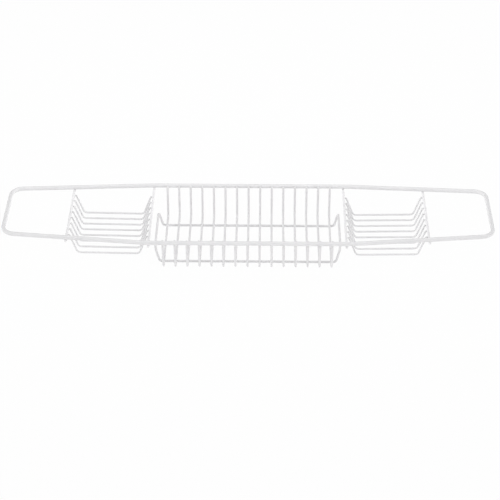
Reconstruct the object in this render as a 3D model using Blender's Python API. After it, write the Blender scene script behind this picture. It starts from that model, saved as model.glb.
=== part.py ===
"""Wire bath caddy: a long frame that bridges the bath, a deep basket in the middle and a soap dish at each side.

Every piece is a steel wire in a smooth plastic coat, bent to shape and welded to its neighbours where they cross.
Lengths are metres. +X runs along the frame, +Y to its back rail and +Z up. The origin lies under the middle of the
caddy, on the plane that the base loop stands on. Each piece is named for what it does on the caddy.
"""

import math

import bpy
from mathutils import Matrix, Vector

# Wire diameters, measured over the coat
FRAME_WIRE = 0.0060
BAR_WIRE = 0.0036
LOOP_WIRE = 0.0034
BASKET_WIRE = 0.0032
DISH_WIRE = 0.0026

# Welded wires lie this far apart
WELD_GAP = 0.0003

# Frame, along its centre line
FRAME_LENGTH = 0.690
FRAME_WIDTH = 0.148
FRAME_END_WIDTH = 0.114
FRAME_END_RISE = 0.0034
FRAME_PARALLEL_LENGTH = 0.286
FRAME_CORNER_RADIUS = 0.018
FRAME_EASE_RADIUS = 0.250

# Basket, whose wires run from rail to rail
BASKET_WIRES = 15
BASKET_PITCH = 0.017
BASKET_DEPTH = 0.0475
BASKET_FLOOR_WIDTH = 0.131
BASKET_BEND_RADIUS = 0.007
BASKET_END_RISE = 0.0022

# Base loop, which lies under the basket and turns up at both ends
LOOP_WIDTH = 0.091
LOOP_FLOOR_LENGTH = 0.251
LOOP_TOP_LENGTH = 0.263
LOOP_RISE = 0.0235
LOOP_BEND_RADIUS = 0.005
LOOP_CORNER_RADIUS = 0.008

# Soap dishes, whose wires hang from two cross bars
DISH_WIRES = 8
DISH_PITCH = 0.0145
DISH_DEPTH = 0.0346
DISH_FLOOR_LENGTH = 0.087
DISH_BEND_RADIUS = 0.006
DISH_END_RISE = 0.0010
DISH_CENTRE = 0.1968
BAR_SPACING = 0.1162
BAR_REACH = 0.0035

# Facets round a wire, and steps round a bend or a rounded end
FRAME_SIDES = 12
LOOP_SIDES = 12
THIN_SIDES = 8
CORNER_STEPS = 7
BEND_STEPS = 4
EASE_STEPS = 2
DOME_STEPS = 2

# Plastic coat: colour in linear light, and gloss
COAT_COLOUR = (0.86, 0.86, 0.87, 1.0)
FRAME_ROUGHNESS = 0.26
WIRE_ROUGHNESS = 0.30


def flat(diameter, sides):
    """Distance from a wire's centre line to its flats: its facets lie just inside the round."""
    return diameter / 2 * math.cos(math.pi / sides)


# Heights of the wires' centre lines, stacked up from the plane that the base loop stands on
LOOP_Z = flat(LOOP_WIRE, LOOP_SIDES)
BASKET_Z = LOOP_Z + flat(LOOP_WIRE, LOOP_SIDES) + WELD_GAP + flat(BASKET_WIRE, THIN_SIDES)
RAIL_Z = BASKET_Z + BASKET_DEPTH

# A cross bar's centre line lies this far under the rails' centre lines
BAR_DROP = flat(FRAME_WIRE, FRAME_SIDES) + WELD_GAP + flat(BAR_WIRE, THIN_SIDES)


def clear_scene():
    """Remove the startup scene's objects."""
    for obj in list(bpy.data.objects):
        bpy.data.objects.remove(obj, do_unlink=True)


def make_coat(name, roughness):
    """White plastic coat of one kind of wire."""
    coat = bpy.data.materials.new(name)
    coat.use_nodes = True
    shader = coat.node_tree.nodes["Principled BSDF"]
    shader.inputs["Base Color"].default_value = COAT_COLOUR
    shader.inputs["Roughness"].default_value = roughness
    shader.inputs["Metallic"].default_value = 0.0
    coat.diffuse_color = COAT_COLOUR
    return coat


def bend(before, corner, after, radius, steps):
    """Points of the arc that a wire takes round a corner between two straight runs."""
    back = (before - corner).normalized()
    ahead = (after - corner).normalized()
    turn = math.pi - back.angle(ahead)
    start = corner + back * radius * math.tan(turn / 2)
    centre = corner + (back + ahead).normalized() * radius / math.cos(turn / 2)
    axis = ahead.cross(back)
    return [
        centre + Matrix.Rotation(turn * step / steps, 3, axis) @ (start - centre)
        for step in range(steps + 1)
    ]


def bent_line(corners, bends, closed=False):
    """Centre line of a bent wire. bends gives the radius and steps at each corner that has one."""
    line = []
    for index, corner in enumerate(corners):
        if bends[index] is None:
            line.append(corner)
            continue
        radius, steps = bends[index]
        before = corners[index - 1]
        after = corners[(index + 1) % len(corners)]
        line.extend(bend(before, corner, after, radius, steps))
    assert closed or bends[0] is bends[-1] is None
    return line


def dome(tip, inner, radius):
    """Rings of a wire's rounded end, from its tip inwards, as (point, share of the full radius)."""
    along = (inner - tip).normalized()
    rings = []
    for step in range(1, DOME_STEPS + 2):
        angle = math.pi / 2 * step / (DOME_STEPS + 1)
        rings.append((tip + along * radius / 2 * (1 - math.cos(angle)), math.sin(angle)))
    return rings


def make_wire_curve(name, line, diameter, sides, coat, closed=False):
    """Round wire along a centre line, with flats above and below, and rounded ends where it is open."""
    rings = [(point, 1) for point in line]
    if not closed:
        head = dome(line[0], line[1], diameter / 2)
        tail = dome(line[-1], line[-2], diameter / 2)
        rings = head + rings[1:-1] + tail[::-1]
    curve = bpy.data.curves.new(name, "CURVE")
    curve.dimensions = "3D"
    curve.twist_mode = "Z_UP"
    curve.bevel_depth = diameter / 2
    curve.bevel_resolution = (sides - 4) // 2
    curve.use_fill_caps = not closed
    spline = curve.splines.new("POLY")
    spline.points.add(len(rings) - 1)
    spline.use_cyclic_u = closed
    for spot, (point, share) in zip(spline.points, rings):
        spot.co = (*point, 1)
        spot.radius = share
        spot.tilt = math.pi / sides
    curve.materials.append(coat)
    return curve


def place(name, curve, parent, location=(0, 0, 0)):
    """One wire of the caddy as its own object, or an empty that carries others. Repeated wires share a curve."""
    obj = bpy.data.objects.new(name, curve)
    obj.location = location
    obj.parent = parent
    parent.users_collection[0].objects.link(obj)
    return obj


def arm_length():
    """Length of a frame arm, from the knee where the rails leave the parallel to the caddy's end."""
    return (FRAME_LENGTH - FRAME_PARALLEL_LENGTH) / 2


def rail_point(x, side=1):
    """Point of a rail's centre line at the length x: level along the basket, drawn in and rising past it."""
    along_arm = max(abs(x) - FRAME_PARALLEL_LENGTH / 2, 0) / arm_length()
    y = (FRAME_WIDTH + (FRAME_END_WIDTH - FRAME_WIDTH) * along_arm) / 2
    return Vector((x, side * y, RAIL_Z + FRAME_END_RISE * along_arm))


def frame_line():
    """Closed frame: parallel rails along the basket, then drawn in and raised a little to the rounded ends."""
    end = FRAME_LENGTH / 2
    knee = FRAME_PARALLEL_LENGTH / 2
    corner = (FRAME_CORNER_RADIUS, CORNER_STEPS)
    ease = (FRAME_EASE_RADIUS, EASE_STEPS)
    half = [(end, corner), (knee, ease), (-knee, ease), (-end, corner)]
    corners = [rail_point(x) for x, _ in half] + [rail_point(x, -1) for x, _ in reversed(half)]
    bends = [kind for _, kind in half] + [kind for _, kind in reversed(half)]
    return bent_line(corners, bends, closed=True)


def leaning_end(foot, seat, clearance, top):
    """End of a run that rises from foot, passes seat's centre at a clearance on the inner side, and stops at top.

    foot and seat are (outward, up) pairs in the plane of the bent wire.
    """
    out, up = seat[0] - foot[0], seat[1] - foot[1]
    lean = math.atan2(out, up) - math.asin(clearance / math.hypot(out, up))
    return foot[0] + (top - foot[1]) * math.tan(lean), top


def basket_wire_line():
    """Open U from rail to rail, its walls leaning out against the rails' inner sides."""
    foot = (BASKET_FLOOR_WIDTH / 2, BASKET_Z)
    seat = (FRAME_WIDTH / 2, RAIL_Z)
    clearance = FRAME_WIRE / 2 + WELD_GAP + BASKET_WIRE / 2
    end = leaning_end(foot, seat, clearance, RAIL_Z + BASKET_END_RISE)
    corners = [Vector((0, side * y, z)) for side, (y, z) in ((1, end), (1, foot), (-1, foot), (-1, end))]
    corner = (BASKET_BEND_RADIUS, BEND_STEPS)
    return bent_line(corners, [None, corner, corner, None])


def base_loop_line():
    """Closed loop under the basket, with both ends turned up to keep things in."""
    low, high = LOOP_FLOOR_LENGTH / 2, LOOP_TOP_LENGTH / 2
    side = LOOP_WIDTH / 2
    foot = (LOOP_BEND_RADIUS, BEND_STEPS)
    crown = (LOOP_CORNER_RADIUS, BEND_STEPS)
    quarter = [(low, LOOP_Z, foot), (high, LOOP_Z + LOOP_RISE, crown)]
    stations = [(sign, x, z, kind) for sign in (-1, 1) for x, z, kind in (quarter[::sign])]
    corners, bends = [], []
    for side_sign in (1, -1):
        for sign, x, z, kind in stations[::side_sign]:
            corners.append(Vector((sign * x, side_sign * side, z)))
            bends.append(kind)
    return bent_line(corners, bends, closed=True)


def dish_wire_line():
    """Open U along the dish, its ends leaning out against the cross bars' inner sides. Heights are from the rails."""
    foot = (DISH_FLOOR_LENGTH / 2, -DISH_DEPTH)
    seat = (BAR_SPACING / 2, -BAR_DROP)
    clearance = BAR_WIRE / 2 + WELD_GAP + DISH_WIRE / 2
    end = leaning_end(foot, seat, clearance, DISH_END_RISE - BAR_DROP)
    corners = [Vector((side * x, 0, z)) for side, (x, z) in ((-1, end), (-1, foot), (1, foot), (1, end))]
    corner = (DISH_BEND_RADIUS, BEND_STEPS)
    return bent_line(corners, [None, corner, corner, None])


def bar_line(x):
    """Straight cross bar under both rails at the length x, reaching a little past their centre lines."""
    reach = rail_point(x).y + BAR_REACH
    return [Vector((0, reach, 0)), Vector((0, -reach, 0))]


def make_frame(parent):
    coat = make_coat("frame_coat", FRAME_ROUGHNESS)
    curve = make_wire_curve("frame", frame_line(), FRAME_WIRE, FRAME_SIDES, coat, closed=True)
    place("frame", curve, parent)


def make_basket(parent):
    """Row of transverse wires, evenly spaced about the middle, on the base loop."""
    coat = make_coat("basket_wire_coat", WIRE_ROUGHNESS)
    curve = make_wire_curve("basket_wire", basket_wire_line(), BASKET_WIRE, THIN_SIDES, coat)
    for index in range(BASKET_WIRES):
        x = (index - (BASKET_WIRES - 1) / 2) * BASKET_PITCH
        place(f"basket_wire_{index + 1:02d}", curve, parent, (x, 0, 0))
    loop_coat = make_coat("base_loop_coat", WIRE_ROUGHNESS)
    loop = make_wire_curve("base_loop", base_loop_line(), LOOP_WIRE, LOOP_SIDES, loop_coat, closed=True)
    place("base_loop", loop, parent)


def make_dish(parent, side_name, side, wire_curve, bar_coat):
    """Two cross bars and the row of wires that hang between them, tilted with the frame arm that carries them."""
    arm = place(f"{side_name}_dish", None, parent, (side * DISH_CENTRE, 0, rail_point(DISH_CENTRE).z))
    arm.rotation_euler.y = -side * math.atan2(FRAME_END_RISE, arm_length())
    for bar_name, outward in (("inner_bar", -1), ("outer_bar", 1)):
        from_centre = outward * BAR_SPACING / 2
        name = f"{side_name}_dish_{bar_name}"
        bar = make_wire_curve(name, bar_line(DISH_CENTRE + from_centre), BAR_WIRE, THIN_SIDES, bar_coat)
        place(name, bar, arm, (side * from_centre, 0, -BAR_DROP))
    for index in range(DISH_WIRES):
        y = ((DISH_WIRES - 1) / 2 - index) * DISH_PITCH
        place(f"{side_name}_dish_wire_{index + 1}", wire_curve, arm, (0, y, 0))


def make_dishes(parent):
    bar_coat = make_coat("dish_bar_coat", WIRE_ROUGHNESS)
    wire_coat = make_coat("dish_wire_coat", WIRE_ROUGHNESS)
    wire_curve = make_wire_curve("dish_wire", dish_wire_line(), DISH_WIRE, THIN_SIDES, wire_coat)
    make_dish(parent, "left", -1, wire_curve, bar_coat)
    make_dish(parent, "right", 1, wire_curve, bar_coat)


def main():
    clear_scene()
    collection = bpy.data.collections.new("bath_caddy")
    bpy.context.scene.collection.children.link(collection)
    caddy = bpy.data.objects.new("bath_caddy", None)
    collection.objects.link(caddy)
    make_frame(caddy)
    make_basket(caddy)
    make_dishes(caddy)


main()
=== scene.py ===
# %% [markdown]
# # A coated wire bath caddy
# This rack lies across a bath. A closed frame of thick wire carries a deep basket of thin wires in
# its middle and a shallow soap dish at each side. On the real object every wire is bent, the
# crossings are spot welded, and the whole rack is then dipped in white plastic, which rounds the
# wire ends and fills the corners of each weld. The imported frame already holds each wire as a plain
# faceted solid. Here each one is bent again as a smooth round wire, and the coat gets what the dip
# leaves on it: rounded beads on the ends and soft webs at the welds.

import math

import bmesh
import bpy
from mathutils import Matrix, Vector


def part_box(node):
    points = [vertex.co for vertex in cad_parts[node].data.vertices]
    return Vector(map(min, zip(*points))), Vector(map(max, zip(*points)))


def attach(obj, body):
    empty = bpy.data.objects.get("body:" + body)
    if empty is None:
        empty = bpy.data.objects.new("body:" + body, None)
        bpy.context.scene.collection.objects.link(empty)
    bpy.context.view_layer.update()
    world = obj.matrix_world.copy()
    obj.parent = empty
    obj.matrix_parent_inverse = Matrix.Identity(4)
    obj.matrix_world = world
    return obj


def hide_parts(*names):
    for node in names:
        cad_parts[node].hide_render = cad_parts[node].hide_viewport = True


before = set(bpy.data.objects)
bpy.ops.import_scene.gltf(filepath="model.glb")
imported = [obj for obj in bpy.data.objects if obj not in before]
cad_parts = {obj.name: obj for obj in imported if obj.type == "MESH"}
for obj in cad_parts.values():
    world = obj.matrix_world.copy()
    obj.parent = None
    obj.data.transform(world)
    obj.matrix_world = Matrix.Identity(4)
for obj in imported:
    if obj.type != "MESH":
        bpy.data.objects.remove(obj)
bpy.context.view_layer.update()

# %% [markdown]
# ## Sizes
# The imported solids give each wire's place, so most lengths are read from their boxes. A box can't
# tell a bend's radius or the plan of the frame, so those few sizes are named here in metres, as on
# a wire bender's drawing.

# %% Name the sizes that a box can't tell
FRAME_RADIUS = 0.0030
BAR_RADIUS = 0.0018
LOOP_RADIUS = 0.0017
BASKET_RADIUS = 0.0016
DISH_RADIUS = 0.0013
WELD_GAP = 0.0003
MM_PER_M = 1000

FRAME_WIDTH = 0.148
FRAME_END_WIDTH = 0.114
FRAME_END_RISE = 0.0034
FRAME_PARALLEL_LENGTH = 0.286
FRAME_CORNER_RADIUS = 0.018
FRAME_EASE_RADIUS = 0.250

BASKET_FLOOR_WIDTH = 0.131
BASKET_BEND_RADIUS = 0.007
BASKET_END_RISE = 0.0022
BASKET_FRONT_END_RISE = 0.0010
LOOP_FLOOR_LENGTH = 0.251
LOOP_BEND_RADIUS = 0.005
LOOP_CORNER_RADIUS = 0.008

DISH_DEPTH = 0.0346
DISH_FLOOR_LENGTH = 0.087
DISH_BEND_RADIUS = 0.006
DISH_END_RISE = 0.0010
print("wires from", DISH_RADIUS * 2 * MM_PER_M, "to", FRAME_RADIUS * 2 * MM_PER_M, "mm thick")

# %% Find the rails' centre lines
THICK_SIDES = 12
THIN_SIDES = 8


def flat(radius, sides):
    """Distance from a wire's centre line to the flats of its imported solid, inside the round."""
    return radius * math.cos(math.pi / sides)


frame_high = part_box("frame")[1]
knee_x = FRAME_PARALLEL_LENGTH / 2
half_length = frame_high.x - flat(FRAME_RADIUS, THICK_SIDES)
end_z = frame_high.z - flat(FRAME_RADIUS, THICK_SIDES)
rail_z = end_z - FRAME_END_RISE
print("half length", round(half_length, 4), "rail height", round(rail_z, 4))

# %% [markdown]
# ## The camera
# The photograph looks down on the rack from the front and from a long way off, so the rack's far
# side is hardly smaller than its near side. Four plain things set such a view: the point looked at,
# how far off the camera stands, and how high and how far to the side. The lens then makes the rack
# fill the picture.

# %% Place the camera
CAMERA_DISTANCE = 2.2445
CAMERA_ELEVATION = math.radians(35.0)
CAMERA_AZIMUTH = math.radians(0.651)
CAMERA_LENS_MM = 116.57
SENSOR_WIDTH_MM = 36.0
AIM_X = 0.0038
AIM_Y = -0.0898

view_direction = Vector((
    -math.sin(CAMERA_AZIMUTH) * math.cos(CAMERA_ELEVATION),
    math.cos(CAMERA_AZIMUTH) * math.cos(CAMERA_ELEVATION),
    -math.sin(CAMERA_ELEVATION),
))
camera_data = bpy.data.cameras.new("camera")
camera_data.lens = CAMERA_LENS_MM
camera_data.sensor_width = SENSOR_WIDTH_MM
camera = bpy.data.objects.new("camera", camera_data)
camera.location = Vector((AIM_X, AIM_Y, rail_z)) - view_direction * CAMERA_DISTANCE
camera.rotation_euler = view_direction.to_track_quat("-Z", "Y").to_euler()
bpy.context.scene.collection.objects.link(camera)
bpy.context.scene.camera = camera
print("camera at", tuple(round(value, 3) for value in camera.location))

# %% [markdown]
# ## Shader maths as expressions
# A finish is a small sum of patterns. Written with nodes alone, such a sum is hard to read, so one
# small class wraps a socket and lets Python's own operators add the Math nodes. Every other node
# comes from one method of the tree.

# %% Wrap a socket so that Python operators add Math nodes


class Value:
    """One output socket. Arithmetic on it adds Math nodes to its tree."""

    def __init__(self, shading, socket):
        self.shading = shading
        self.socket = socket

    def __add__(self, other):
        return self.shading.maths("ADD", self, other)

    def __radd__(self, other):
        return self.shading.maths("ADD", other, self)

    def __sub__(self, other):
        return self.shading.maths("SUBTRACT", self, other)

    def __rsub__(self, other):
        return self.shading.maths("SUBTRACT", other, self)

    def __mul__(self, other):
        return self.shading.maths("MULTIPLY", self, other)

    def __rmul__(self, other):
        return self.shading.maths("MULTIPLY", other, self)


class Shading:
    """The node tree of a material or of the world."""

    def __init__(self, owner):
        owner.use_nodes = True
        self.tree = owner.node_tree

    def fill(self, node, inputs):
        """Give a node's sockets their values or links."""
        for name, given in inputs.items():
            if isinstance(given, Value):
                self.tree.links.new(given.socket, node.inputs[name])
            else:
                node.inputs[name].default_value = given

    def node(self, kind, settings, inputs, output=0):
        """Add any node: its settings go on first, then its sockets' values or links."""
        made = self.tree.nodes.new(kind)
        for name, setting in settings.items():
            setattr(made, name, setting)
        self.fill(made, inputs)
        return Value(self, made.outputs[output])

    def maths(self, operation, first, second):
        return self.node("ShaderNodeMath", {"operation": operation}, {0: first, 1: second})

    def mix_colours(self, factor, first, second):
        """Blend two colours. A Math node would turn them grey, so a Mix node does it."""
        settings = {"data_type": "RGBA"}
        # Set to colours, the Mix node's sockets are 0 for its factor, 6 and 7, and 2 for its result
        return self.node("ShaderNodeMix", settings, {0: factor, 6: first, 7: second}, 2)


print("shader helpers ready")

# %% [markdown]
# ## The coat
# The coat is soft white plastic about half a millimetre thick. It comes out of the dip glossy but
# not like glass: a fine orange-peel ripple runs over it, thick and thin places make the gloss
# wander, and here and there a speck of dust is caught under the skin. The ripple is far finer than
# the mesh, so it is a bump. The tone and the gloss follow slow noise in the rack's own coordinates,
# so they run on from wire to wire. The short cross bars and their webs at the rails are painted a
# little whiter than the rest, as painted light: it stands in for the brighter light on the bars and
# lifts the shade at their welds to the rails.

# %% Name the coat's colours and the sizes of its patterns
WHITE = (0.840, 0.835, 0.843, 1.0)
THIN_WHITE = (0.740, 0.735, 0.744, 1.0)
# Painted light: the cross bars' coat and their rail webs are painted this much whiter than the rest,
# for the brighter light on the bars
BAR_PAINTED_LIGHT_GAIN = 1.12
SPECK = (0.40, 0.38, 0.34, 1.0)
SPECK_DEPTH = 0.35
SPECK_SPACING = 0.011
SPECK_SIZE_SHARE = 0.030
CLOUD_LENGTH = 0.030
RIPPLE_LENGTH = 0.0022
RIPPLE_HEIGHT = 0.00005
RIPPLE_STRENGTH = 0.22
CLOUD_DETAIL = 3.0
RIPPLE_DETAIL = 2.0
NOISE_MEAN = 0.5
print("ripple", RIPPLE_LENGTH, "m, clouds", CLOUD_LENGTH, "m, specks", SPECK_SPACING, "m apart")

# %% Make the coat's material


def whiter(colour, painted_light_gain):
    return tuple(part * painted_light_gain for part in colour[:3]) + (1.0,)


def noise(shading, place, length, detail):
    """Noise whose lumps are about this long."""
    inputs = {"Vector": place, "Scale": 1 / length, "Detail": detail}
    return shading.node("ShaderNodeTexNoise", {}, inputs)


def coat_material(name, roughness, swing, painted_light_gain=1.0):
    """White plastic coat. The gloss wanders round its mean roughness, by swing to each side."""
    material = bpy.data.materials.new(name)
    shading = Shading(material)
    place = shading.node("ShaderNodeTexCoord", {}, {}, "Object")
    clouds = noise(shading, place, CLOUD_LENGTH, CLOUD_DETAIL)
    ripple = noise(shading, place, RIPPLE_LENGTH, RIPPLE_DETAIL)
    speck_inputs = {"Vector": place, "Scale": 1 / SPECK_SPACING}
    to_speck = shading.node("ShaderNodeTexVoronoi", {}, speck_inputs)
    is_speck = shading.maths("LESS_THAN", to_speck, SPECK_SIZE_SHARE)
    # A gain above 1 paints light into the coat's colour
    thick = whiter(WHITE, painted_light_gain)
    thin = whiter(THIN_WHITE, painted_light_gain)
    colour = shading.mix_colours(clouds, thick, thin)
    colour = shading.mix_colours(is_speck * SPECK_DEPTH, colour, SPECK)
    gloss = roughness + (clouds - NOISE_MEAN) * (2 * swing) + (ripple - NOISE_MEAN) * swing
    bump_inputs = {"Strength": RIPPLE_STRENGTH, "Distance": RIPPLE_HEIGHT, "Height": ripple}
    bump = shading.node("ShaderNodeBump", {}, bump_inputs)
    shader = shading.tree.nodes["Principled BSDF"]
    shading.fill(shader, {"Base Color": colour, "Roughness": gloss, "Normal": bump})
    return material


frame_coat = coat_material("frame_coat", roughness=0.24, swing=0.06)
wire_coat = coat_material("wire_coat", roughness=0.28, swing=0.07)
# The bar coat is painted whiter: painted light on the cross bars
bar_coat = coat_material("bar_coat", roughness=0.28, swing=0.07, painted_light_gain=BAR_PAINTED_LIGHT_GAIN)
web_coat = coat_material("web_coat", roughness=0.30, swing=0.08)
print("coats:", frame_coat.name, wire_coat.name, bar_coat.name, web_coat.name)

# %% [markdown]
# ## Rounded wire ends
# Surface tension draws the wet coat into a bead at each cut end. From the tip inwards the wire
# grows from a small ring to a bead a little thicker than the wire, and then shrinks to its true
# size. These steps are a quarter circle, cut into short moves that each say how far to go and how
# thick to be. A half sphere set on the wire's end would be simpler, but it has no bead.

# %% Work out the moves of a rounded end
DOME_STEPS = 5
BEAD_SWELL = 1.07
BEAD_LENGTH_SHARE = 0.9


def dome_share(step):
    """Thickness of a rounded end at this step from its tip, as a share of the wire's radius."""
    return math.sin(math.pi / 2 * step / (DOME_STEPS + 1)) * BEAD_SWELL


def dome_reach(step):
    """Distance of this step from the end's tip, as a share of the wire's radius."""
    return 1 - math.cos(math.pi / 2 * step / (DOME_STEPS + 1))


def dome_moves():
    """Moves from the tip's smallest ring out to the full bead, as (distance, thickness) shares."""
    steps = range(1, DOME_STEPS + 1)
    return [(dome_reach(step + 1) - dome_reach(step), dome_share(step + 1)) for step in steps]


dome_length_share = sum(distance for distance, _ in dome_moves())
print("a rounded end takes", round(dome_length_share + BEAD_LENGTH_SHARE, 2), "radii of wire")

# %% [markdown]
# ## Bending a wire
# A wire bender feeds straight wire and turns it round a former, again and again. The same two moves
# make a mesh: a ring of edges is extruded forward for a straight run, and spun round the former's
# axis for a bend. A curve with a bevel would be shorter to write, but this keeps each bend's true
# radius, spends no faces on the straights, and lets the ring swell and shrink at the ends.

# %% Wrap the moves of a wire bender
RING_SIDES = 20
SEAM_SHARE = 0.02


def edges_of_ring(verts):
    """Edges at these vertices, each once and in their order, which a set would lose."""
    return list(dict.fromkeys(edge for vert in verts for edge in vert.link_edges))


class WireBender:
    """Bends one round wire. It feeds along its heading, and turns round an axis at a radius."""

    def __init__(self, start, heading, radius, open_start=False):
        self.bm = bmesh.new()
        self.radius = radius
        self.point = Vector(start)
        self.heading = Vector(heading).normalized()
        self.share = 1.0 if open_start else dome_share(1)
        turned = self.heading.to_track_quat("Z", "Y").to_matrix().to_4x4()
        made = bmesh.ops.create_circle(
            self.bm, segments=RING_SIDES, radius=radius * self.share, cap_ends=not open_start,
            matrix=Matrix.Translation(self.point) @ turned)
        self.ring_verts = made["verts"]
        self.ring_edges = edges_of_ring(self.ring_verts)

    def take_ring(self, geometry):
        """Keep the newest ring out of what an operator made."""
        self.ring_verts = [item for item in geometry if isinstance(item, bmesh.types.BMVert)]
        ring = set(self.ring_verts)
        edges = [item for item in geometry if isinstance(item, bmesh.types.BMEdge)]
        self.ring_edges = [edge for edge in edges if ring.issuperset(edge.verts)]

    def feed(self, distance, share=1.0):
        """Push the wire forward, and bring its ring to this share of the full radius."""
        self.take_ring(bmesh.ops.extrude_edge_only(self.bm, edges=self.ring_edges)["geom"])
        bmesh.ops.translate(self.bm, verts=self.ring_verts, vec=self.heading * distance)
        self.point = self.point + self.heading * distance
        growth = Vector((1, 1, 1)) * (share / self.share)
        to_point = Matrix.Translation(-self.point)
        bmesh.ops.scale(self.bm, verts=self.ring_verts, vec=growth, space=to_point)
        self.share = share

    def bend(self, axis, angle, radius, steps):
        """Turn the wire round an axis, by the right-hand rule, its centre line at this radius."""
        centre = self.point + axis.cross(self.heading) * radius
        ring = self.ring_verts + self.ring_edges
        made = bmesh.ops.spin(
            self.bm, geom=ring, cent=centre, axis=axis, angle=angle, steps=steps)
        self.take_ring(made["geom_last"])
        turn = Matrix.Rotation(angle, 3, axis)
        self.point = centre + turn @ (self.point - centre)
        self.heading = turn @ self.heading

    def bend_through(self, corner, after, radius, steps):
        """Feed straight towards a corner, and bend there to head for the next point."""
        onward = (after - corner).normalized()
        angle = self.heading.angle(onward)
        self.feed((corner - self.point).length - radius * math.tan(angle / 2))
        self.bend(self.heading.cross(onward).normalized(), angle, radius, steps)

    def grow_tip(self):
        """Open the first end from its small ring to its bead, and then to the wire's true size."""
        for distance, share in dome_moves():
            self.feed(self.radius * distance, share)
        self.feed(self.radius * BEAD_LENGTH_SHARE)

    def close_tip(self, tip):
        """Run on to the last end, bead it, round it and cap it."""
        rounded = self.radius * (BEAD_LENGTH_SHARE + dome_length_share)
        self.feed((tip - self.point).length - rounded)
        self.feed(self.radius * BEAD_LENGTH_SHARE, BEAD_SWELL)
        moves = dome_moves()
        smaller = [share for _, share in moves[-2::-1]] + [dome_share(1)]
        for (distance, _), share in zip(moves[::-1], smaller):
            self.feed(self.radius * distance, share)
        bmesh.ops.contextual_create(self.bm, geom=self.ring_edges)

    def join_ends(self, start):
        """Run a closed wire on to its start, and weld its last ring to its first."""
        self.feed((start - self.point).length)
        bmesh.ops.remove_doubles(self.bm, verts=self.bm.verts, dist=self.radius * SEAM_SHARE)


print("a ring has", RING_SIDES, "sides")

# %% [markdown]
# ## From a mesh to a piece of the rack
# Each finished wire takes the coat, rides on the rack's one rigid body and stands for its own solid
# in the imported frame, which is then hidden. Its faces are shaded smooth, since a coated wire has no
# sharp edge anywhere. The box of each piece is set against its solid's box, so that a wrong bend
# shows at once as a misfit.

# %% Finish a piece and measure it


def finish_piece(bm, name, material, node=None):
    """Turn a bmesh into a smooth piece of the rack, in place of a node if one is named."""
    bmesh.ops.recalc_face_normals(bm, faces=bm.faces)
    mesh = bpy.data.meshes.new(name)
    bm.to_mesh(mesh)
    bm.free()
    mesh.shade_smooth()
    mesh.materials.append(material)
    piece = bpy.data.objects.new(name, mesh)
    bpy.context.scene.collection.objects.link(piece)
    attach(piece, "root")
    if node:
        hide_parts(node)
    return piece


def finish_wire(bm, node, material):
    return finish_piece(bm, f"{node}_coated", material, node)


def misfit(piece):
    """Largest distance between a side of a wire's box and the same side of its node's box."""
    node_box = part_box(piece.name.removesuffix("_coated"))
    points = [vert.co for vert in piece.data.vertices]
    own_box = [
        Vector([limit(point[axis] for point in points) for axis in range(3)])
        for limit in (min, max)]
    return max(abs(gap) for own, cad in zip(own_box, node_box) for gap in own - cad)


def report(title, made):
    worst = max(misfit(piece) for piece in made)
    print(title, len(made), "worst misfit", round(worst * MM_PER_M, 3), "mm")


print("ready to finish pieces")

# %% [markdown]
# ## The frame
# The frame is one closed loop of the thickest wire. Its rails run parallel along the basket, then
# draw in and rise a little to the rounded ends that lie on the bath's rims. Its eight bends are
# four bends twice over: turned half round about the rack's middle, one half of the loop falls on
# the other. So only one half's bends are listed, and the two halves can't differ.

# %% Bend the frame
CORNER_STEPS = 14
EASE_STEPS = 4
ALONG = Vector((1, 0, 0))
ACROSS = Vector((0, 1, 0))


def rail_point(x, side=1):
    """Point of a rail's centre line at the length x."""
    along_arm = max(abs(x) - knee_x, 0) / (half_length - knee_x)
    y = (FRAME_WIDTH + (FRAME_END_WIDTH - FRAME_WIDTH) * along_arm) / 2
    return Vector((x, side * y, rail_z + FRAME_END_RISE * along_arm))


def bend_closed_wire(half_route, radius):
    """Closed wire from one half's bends, (corner, bend radius, steps), and those turned round."""
    half_turn = Vector((-1, -1, 1))
    other_half = [(corner * half_turn, bend, steps) for corner, bend, steps in half_route]
    route = half_route + other_half
    start = route[0][0].copy()
    start.y = 0
    bender = WireBender(start, ACROSS, radius, open_start=True)
    afters = [corner for corner, _, _ in route[1:]] + [start]
    for (corner, bend, steps), after in zip(route, afters):
        bender.bend_through(corner, after, bend, steps)
    bender.join_ends(start)
    return bender.bm


corner_bend = (FRAME_CORNER_RADIUS, CORNER_STEPS)
ease_bend = (FRAME_EASE_RADIUS, EASE_STEPS)
frame_route = [
    (rail_point(half_length), *corner_bend),
    (rail_point(knee_x), *ease_bend),
    (rail_point(-knee_x), *ease_bend),
    (rail_point(-half_length), *corner_bend),
]
frame_wire = finish_wire(bend_closed_wire(frame_route, FRAME_RADIUS), "frame", frame_coat)
report("frame", [frame_wire])

# %% [markdown]
# ## The base loop
# The rack stands on this loop when it isn't on the bath. Two long runs lie crosswise under the
# basket wires, and at each end the loop turns up and crosses over, so that nothing slides out of
# the basket. Turned half round it falls on itself too, so the function that bends the frame also
# bends this loop.

# %% Bend the base loop
LOOP_BEND_STEPS = 7

loop_low, loop_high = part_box("base_loop")
loop_flat = flat(LOOP_RADIUS, THICK_SIDES)
loop_y = loop_high.y - loop_flat
loop_z = loop_low.z + loop_flat
loop_top = Vector((loop_high.x - loop_flat, loop_y, loop_high.z - loop_flat))
loop_foot = Vector((LOOP_FLOOR_LENGTH / 2, loop_y, loop_z))
mirror_ends = Vector((-1, 1, 1))
loop_route = [
    (loop_top, LOOP_CORNER_RADIUS, LOOP_BEND_STEPS),
    (loop_foot, LOOP_BEND_RADIUS, LOOP_BEND_STEPS),
    (loop_foot * mirror_ends, LOOP_BEND_RADIUS, LOOP_BEND_STEPS),
    (loop_top * mirror_ends, LOOP_CORNER_RADIUS, LOOP_BEND_STEPS),
]
base_loop = finish_wire(bend_closed_wire(loop_route, LOOP_RADIUS), "base_loop", wire_coat)
report("base loop", [base_loop])

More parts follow.
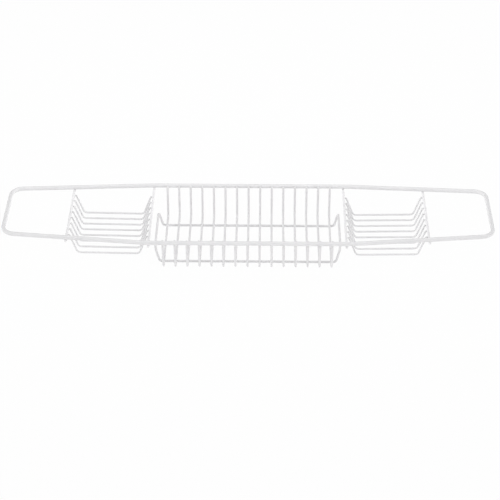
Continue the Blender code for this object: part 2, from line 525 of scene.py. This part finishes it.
# %% [markdown]
# ## The basket
# Fifteen equal wires hang between the rails. Each is a U with well rounded feet, and its two ends
# lean against the rails' inner sides, where they are welded with their tips just under the rails'
# tops. The photograph shows no tip over the front rail, so the front ends are cut a little shorter
# than the back ones. The wires could be copies of one mesh, but each is bent in its own solid's
# place, so that its object stays at the origin and the coat's patterns don't repeat.

# %% Bend the basket wires
BEND_STEPS = 9
BASKET_WIRES = 15


def middle(node):
    """Middle of a node's box."""
    low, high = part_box(node)
    return (low + high) / 2


def leaning_end(foot, seat, clearance, top):
    """Where a wire ends that rises from its foot and leans on a seat wire, as (outward, up)."""
    out, up = seat[0] - foot[0], seat[1] - foot[1]
    lean = math.atan2(out, up) - math.asin(clearance / math.hypot(out, up))
    return foot[0] + (top - foot[1]) * math.tan(lean), top


def bend_u_wire(points, radius, bend_radius):
    """Wire with rounded tips and two bends, from its first end over its feet to its last end."""
    first, near, far, last = points
    bender = WireBender(first, near - first, radius)
    bender.grow_tip()
    bender.bend_through(near, far, bend_radius, BEND_STEPS)
    bender.bend_through(far, last, bend_radius, BEND_STEPS)
    bender.close_tip(last)
    return bender.bm


def basket_wire_points(node):
    """A basket wire's ends and feet. Its place along the rack is its solid's."""
    foot = (BASKET_FLOOR_WIDTH / 2, basket_z)
    clearance = FRAME_RADIUS + WELD_GAP + BASKET_RADIUS
    back_end, front_end = [
        leaning_end(foot, (FRAME_WIDTH / 2, rail_z), clearance, rail_z + rise)
        for rise in (BASKET_END_RISE, BASKET_FRONT_END_RISE)]
    x = middle(node).x
    outline = ((1, back_end), (1, foot), (-1, foot), (-1, front_end))
    return [Vector((x, side * y, z)) for side, (y, z) in outline]


basket_nodes = [f"basket_wire_{number + 1:02d}" for number in range(BASKET_WIRES)]
basket_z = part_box(basket_nodes[0])[0].z + flat(BASKET_RADIUS, THIN_SIDES)
basket_wires = []
for node in basket_nodes:
    bent = bend_u_wire(basket_wire_points(node), BASKET_RADIUS, BASKET_BEND_RADIUS)
    basket_wires.append(finish_wire(bent, node, wire_coat))
report("basket wires", basket_wires)

# %% [markdown]
# ## The soap dishes
# Each dish hangs from two straight bars that are welded under the rails. The frame's arms rise a
# little towards the rack's ends, so a whole dish is tilted with its arm. Its wires are laid out
# level between the bars and then turned with the arm, as a welder would hold the finished dish up
# to the frame.

# %% Find the bars and the tilt of each dish
DISH_WIRES = 8
SIDE_NAMES = ("left", "right")
arm_slope = math.atan2(FRAME_END_RISE, half_length - knee_x)
bar_drop = flat(FRAME_RADIUS, THICK_SIDES) + WELD_GAP + flat(BAR_RADIUS, THIN_SIDES)


def dish_bars(side_name):
    """Middles of a dish's two bars, the one with the lower x first."""
    bars = [middle(f"{side_name}_dish_{bar}_bar") for bar in ("inner", "outer")]
    return sorted(bars, key=lambda point: point.x)


def dish_place(side_name):
    """Turn and place of a dish, from its level layout about its bars to the rack."""
    first, last = dish_bars(side_name)
    slope = math.copysign(arm_slope, -first.x)
    return Matrix.Translation((first + last) / 2) @ Matrix.Rotation(slope, 4, "Y")


left_bars = dish_bars("left")
bar_spacing = (left_bars[1] - left_bars[0]).length
print("bars", round(bar_spacing * MM_PER_M, 1), "mm apart")
print("dishes tilted", round(math.degrees(arm_slope), 2), "degrees")

# %% Bend the dish wires


def dish_wire_points(side_name, y):
    """A dish wire's ends and feet, laid out level between the bars and then put in place."""
    foot = (DISH_FLOOR_LENGTH / 2, bar_drop - DISH_DEPTH)
    clearance = BAR_RADIUS + WELD_GAP + DISH_RADIUS
    end = leaning_end(foot, (bar_spacing / 2, 0), clearance, DISH_END_RISE)
    outline = ((-1, end), (-1, foot), (1, foot), (1, end))
    place = dish_place(side_name)
    return [place @ Vector((side * x, y, z)) for side, (x, z) in outline]


dish_wires = []
for side_name in SIDE_NAMES:
    for number in range(DISH_WIRES):
        node = f"{side_name}_dish_wire_{number + 1}"
        points = dish_wire_points(side_name, middle(node).y)
        bent = bend_u_wire(points, DISH_RADIUS, DISH_BEND_RADIUS)
        dish_wires.append(finish_wire(bent, node, wire_coat))
report("dish wires", dish_wires)

# %% Cut the cross bars


def make_bar(node):
    """Straight bar with a rounded tip at each end."""
    centre = middle(node)
    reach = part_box(node)[1].y
    last = Vector((centre.x, -reach, centre.z))
    bender = WireBender((centre.x, reach, centre.z), -ACROSS, BAR_RADIUS)
    bender.grow_tip()
    bender.close_tip(last)
    return finish_wire(bender.bm, node, bar_coat)


bars = [
    make_bar(f"{side_name}_dish_{bar}_bar")
    for side_name in SIDE_NAMES for bar in ("inner", "outer")]
report("cross bars", bars)

# %% [markdown]
# ## The webs at the welds
# Two round wires that cross touch at one point, and the wet coat is drawn into the narrow wedge
# round it. When it sets, it is a small web with a waist. A bevel can't make it, because the wires
# are separate shells, and merging them would cost thousands of faces. Seen along the weld the web
# is an ellipse that ends where the two skins have parted. So a few rings of that ellipse, wider and
# narrower, are laid on the lower skin, between the two and on the upper skin, and are bridged. The
# first and last ring lie just inside the wires, so no rim shows.

# %% Measure from the weld to a wire's skin


def skin_height(start, rise, wire, radius, side):
    """Height over start, along rise, of a round wire's skin: its far side for 1, near for -1."""
    on_line, heading = wire
    out = (start - on_line) - heading * (start - on_line).dot(heading)
    step = rise - heading * rise.dot(heading)
    nearest = -out.dot(step) / step.length_squared
    half_chord = math.sqrt(nearest ** 2 - (out.length_squared - radius ** 2) / step.length_squared)
    return nearest + side * half_chord


def web_reach(radius, climb):
    """How far from the weld a wire's skin has climbed so much above its top line."""
    return math.sqrt(radius ** 2 - (radius - climb) ** 2)


# %% Shape one web
WEB_SIDES = 14
WEB_CLIMB_SHARE = 0.42
TIP_ROOM_SHARE = 0.6
WELD_BELOW_TIP_SHARE = 1.3
# Rings from inside the lower wire to the waist, each with its width as a share of the ellipse and
# its height as a share of the gap
LOWER_RING_SHARES = ((1.12, -0.14), (1.0, 0.02), (0.84, 0.12), (0.74, 0.28))
WAIST_RING_SHARE = (0.70, 0.5)
UPPER_RING_SHARES = tuple((width, 1 - height) for width, height in LOWER_RING_SHARES[::-1])
WEB_RING_SHARES = LOWER_RING_SHARES + (WAIST_RING_SHARE,) + UPPER_RING_SHARES
WIDEST_SHARE = LOWER_RING_SHARES[0][0]


def flattened(vector, normal):
    """Unit vector along what is left of a vector in the plane of this normal."""
    return (vector - normal * vector.dot(normal)).normalized()


def add_web(bm, lower, upper, radii, room=math.inf):
    """Web between two wires, each a (point at the weld, heading).

    radii are theirs, the lower wire's first, and room is the upper wire's length past the weld.
    """
    rise = (upper[0] - lower[0]).normalized()
    along = flattened(lower[1], rise)
    tipward = flattened(upper[1], rise)
    climb = WEB_CLIMB_SHARE * min(radii)
    lower_reach, upper_reach = web_reach(radii[1], climb), web_reach(radii[0], climb)
    shrink = min(1, room / (upper_reach * WIDEST_SHARE))
    turned = Matrix((along, rise.cross(along), rise)).transposed().to_4x4()
    loops = []
    for width, height in WEB_RING_SHARES:
        place = Matrix.Translation(lower[0]) @ turned
        place = place @ Matrix.Diagonal((lower_reach * width, upper_reach * width, 1, 1))
        is_end = width == WIDEST_SHARE
        made = bmesh.ops.create_circle(
            bm, segments=WEB_SIDES, radius=1, cap_ends=is_end, matrix=place)
        for vert in made["verts"]:
            past = max(0, (vert.co - lower[0]).dot(tipward))
            vert.co -= tipward * past * (1 - shrink)
            low = skin_height(vert.co, rise, lower, radii[0], 1)
            high = skin_height(vert.co, rise, upper, radii[1], -1)
            vert.co += rise * (low + (high - low) * height)
        loops.append(edges_of_ring(made["verts"]))
    for first, second in zip(loops, loops[1:]):
        bmesh.ops.bridge_loops(bm, edges=first + second)


def add_tip_web(bm, seat, foot, end, radii):
    """Web between a wire that runs on and one that ends on it, welded abreast or below its tip."""
    heading = (end - foot).normalized()
    abreast = (seat[0] - foot).dot(heading)
    highest = (end - foot).length - WELD_BELOW_TIP_SHARE * radii[1]
    weld = foot + heading * min(abreast, highest)
    room = (end - weld).length - TIP_ROOM_SHARE * radii[1]
    add_web(bm, seat, (weld, heading), radii, room)


def finish_webs(bm, name, coat=web_coat):
    piece = finish_piece(bm, name, coat)
    print(name, len(piece.data.polygons), "faces")


print("a web has", len(WEB_RING_SHARES), "rings of", WEB_SIDES, "sides")

# %% Web the basket wires to the rails and to the base loop
rail_webs = bmesh.new()
loop_webs = bmesh.new()
for node in basket_nodes:
    points = basket_wire_points(node)
    for end, foot, side in ((points[0], points[1], 1), (points[3], points[2], -1)):
        rail = (rail_point(end.x, side), ALONG)
        add_tip_web(rail_webs, rail, foot, end, (FRAME_RADIUS, BASKET_RADIUS))
        loop = (Vector((end.x, side * loop_y, loop_z)), ALONG)
        wire = (Vector((end.x, side * loop_y, basket_z)), ACROSS)
        add_web(loop_webs, loop, wire, (LOOP_RADIUS, BASKET_RADIUS))
finish_webs(rail_webs, "basket_rail_webs")
finish_webs(loop_webs, "basket_loop_webs")

# %% Web the dish wires to the bars and the bars to the rails
bar_webs = bmesh.new()
for side_name in SIDE_NAMES:
    dish_webs = bmesh.new()
    first_bar, last_bar = dish_bars(side_name)
    for number in range(DISH_WIRES):
        y = middle(f"{side_name}_dish_wire_{number + 1}").y
        points = dish_wire_points(side_name, y)
        ends = ((first_bar, points[0], points[1]), (last_bar, points[3], points[2]))
        for bar, end, foot in ends:
            seat = (Vector((bar.x, y, bar.z)), ACROSS)
            add_tip_web(dish_webs, seat, foot, end, (BAR_RADIUS, DISH_RADIUS))
    finish_webs(dish_webs, f"{side_name}_dish_webs")
    for bar in (first_bar, last_bar):
        for side in (1, -1):
            on_rail = rail_point(bar.x, side)
            rail = (on_rail, (rail_point(bar.x + BAR_RADIUS, side) - on_rail).normalized())
            crossing = (Vector((bar.x, on_rail.y, bar.z)), ACROSS)
            add_web(bar_webs, crossing, rail, (BAR_RADIUS, FRAME_RADIUS))
# The bar webs take the whiter bar coat: painted light that lifts the shade where each web sits
# between rail and bar
finish_webs(bar_webs, "bar_webs", bar_coat)

# %% [markdown]
# ## The floor
# The photograph stands the rack on plain white. The floor here is white too, and to the camera it
# is mostly a glow of exactly white, with a share of real white paint mixed in so that the rack
# still leaves its soft shadow.

# %% Lay the floor
FLOOR_SIZE = 14.0
FLOOR_PAINT = (0.95, 0.95, 0.95, 1.0)
FLOOR_GLOW_SHARE = 0.96

floor_bm = bmesh.new()
bmesh.ops.create_grid(floor_bm, x_segments=1, y_segments=1, size=FLOOR_SIZE / 2)
floor_mesh = bpy.data.meshes.new("floor")
floor_bm.to_mesh(floor_mesh)
floor_bm.free()
floor = bpy.data.objects.new("floor", floor_mesh)
bpy.context.scene.collection.objects.link(floor)


def seen_directly(shading):
    """One where a camera, mirror or glass ray looks, and nought where light bounces."""
    rays = [
        shading.node("ShaderNodeLightPath", {}, {}, name)
        for name in ("Is Camera Ray", "Is Glossy Ray", "Is Transmission Ray")]
    return shading.maths("MAXIMUM", shading.maths("MAXIMUM", rays[0], rays[1]), rays[2])


def floor_material():
    material = bpy.data.materials.new("floor_paint")
    shading = Shading(material)
    paint = shading.tree.nodes["Principled BSDF"]
    shading.fill(paint, {"Base Color": FLOOR_PAINT, "Roughness": 1.0})
    glow = shading.node("ShaderNodeEmission", {}, {})
    factor = seen_directly(shading) * FLOOR_GLOW_SHARE
    painted = Value(shading, paint.outputs["BSDF"])
    mixed = shading.node("ShaderNodeMixShader", {}, {0: factor, 1: painted, 2: glow})
    shading.fill(shading.tree.nodes["Material Output"], {"Surface": mixed})
    return material


floor.data.materials.append(floor_material())
print("floor", FLOOR_SIZE, "m across")

# %% [markdown]
# ## The light
# The picture is bright and nearly shadowless, and still a white wire on white ground has a grey
# lower edge. One soft lamp close over the rack lights the wires' tops. The rest comes from the
# room: its walls glow to the left and right and behind the camera, and its ceiling and back wall
# are dark, so no wire melts into the ground. To the camera the room is plain white. A sun or a spot
# lamp would be simpler, but its hard shadows would draw a second rack.

# %% Light the rack
LAMP_WATTS = 2.95
LAMP_WIDTH = 0.9
LAMP_DEPTH = 0.6
LAMP_PLACE = Vector((0, 0.25, 0.95))

lamp_data = bpy.data.lights.new("softbox", "AREA")
lamp_data.shape = "RECTANGLE"
lamp_data.energy = LAMP_WATTS
lamp_data.size = LAMP_WIDTH
lamp_data.size_y = LAMP_DEPTH
lamp = bpy.data.objects.new("softbox", lamp_data)
lamp.location = LAMP_PLACE
lamp.rotation_euler = LAMP_PLACE.to_track_quat("Z", "Y").to_euler()
lamp.visible_camera = False
bpy.context.scene.collection.objects.link(lamp)
print("softbox of", LAMP_WATTS, "W,", LAMP_WIDTH, "by", LAMP_DEPTH, "m")

# %% Light the room
SIDE_GLOW = 1.86
FRONT_GLOW = 0.96


def make_room():
    """World that lights from the sides and the front, and is plain white where it is looked at."""
    world = bpy.data.worlds.new("room")
    shading = Shading(world)
    direction = shading.node("ShaderNodeTexCoord", {}, {}, "Generated")
    along = shading.node("ShaderNodeSeparateXYZ", {}, {"Vector": direction}, "X")
    across = shading.node("ShaderNodeSeparateXYZ", {}, {"Vector": direction}, "Y")
    towards_camera = shading.maths("MAXIMUM", across * -1.0, 0.0)
    glow = along * along * SIDE_GLOW + towards_camera * FRONT_GLOW
    looked_at = seen_directly(shading)
    shading.fill(shading.tree.nodes["Background"], {
        "Color": (1.0, 1.0, 1.0, 1.0),
        "Strength": looked_at + (1.0 - looked_at) * glow})
    return world


bpy.context.scene.world = make_room()
bpy.context.scene.view_settings.view_transform = "Standard"
print("room lit, view transform", bpy.context.scene.view_settings.view_transform)
